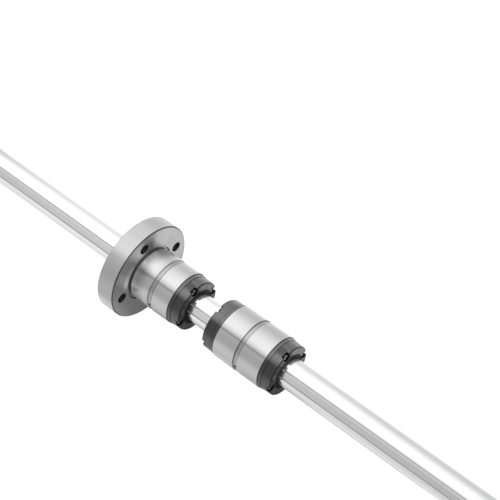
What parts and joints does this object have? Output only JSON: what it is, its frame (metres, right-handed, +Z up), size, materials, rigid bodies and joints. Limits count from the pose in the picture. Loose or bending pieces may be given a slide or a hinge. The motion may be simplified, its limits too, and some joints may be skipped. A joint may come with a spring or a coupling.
{
  "type": "ball spline assembly",
  "caption": "Ball spline: a ground shaft with axial raceways that carries a flanged nut and a straight cylindrical nut, each sliding freely but locked against turning.",
  "frame": {"origin": "on the shaft axis, in the mounting face of the flange", "axes": "+X along the shaft from the flanged nut to the straight nut, +Z up; a flange bolt hole lies on each of +Y, -Y, +Z and -Z"},
  "size_m": [0.28, 0.044, 0.044],
  "materials": {
    "shaft_steel": "ground and mirror polished",
    "nut_steel": "fine ground",
    "cap_resin": "semi-gloss moulded black",
    "seal_rubber": "matt",
    "black_screw": "black oxide",
    "retainer_resin": "moulded",
    "ball_steel": "polished"
  },
  "bodies": {
    "shaft": {"spline_shaft": "shaft_steel"},
    "flanged_nut": {"flanged_nut_sleeve": "nut_steel", "flanged_nut_front_cap": "cap_resin", "flanged_nut_rear_cap": "cap_resin", "flanged_nut_front_seal": "seal_rubber", "flanged_nut_rear_seal": "seal_rubber", "flanged_nut_ball_retainer": "retainer_resin", "flanged_nut_front_screws": "black_screw", "flanged_nut_rear_screws": "black_screw", "flanged_nut_ball_circuit_1": "ball_steel", "flanged_nut_ball_circuit_2": "ball_steel", "flanged_nut_ball_circuit_3": "ball_steel", "flanged_nut_ball_circuit_4": "ball_steel"},
    "straight_nut": {"straight_nut_sleeve": "nut_steel", "straight_nut_left_cap": "cap_resin", "straight_nut_right_cap": "cap_resin", "straight_nut_left_seal": "seal_rubber", "straight_nut_right_seal": "seal_rubber", "straight_nut_ball_retainer": "retainer_resin", "straight_nut_left_screws": "black_screw", "straight_nut_right_screws": "black_screw", "straight_nut_ball_circuit_1": "ball_steel", "straight_nut_ball_circuit_2": "ball_steel", "straight_nut_ball_circuit_3": "ball_steel", "straight_nut_ball_circuit_4": "ball_steel"}
  },
  "joints": [
    {"name": "flanged_nut_slide", "type": "slide", "parent": "shaft", "child": "flanged_nut", "axis": [1, 0, 0], "range_m": [-0.08, 0.006]},
    {"name": "straight_nut_slide", "type": "slide", "parent": "shaft", "child": "straight_nut", "axis": [1, 0, 0], "range_m": [-0.006, 0.085]}
  ]
}
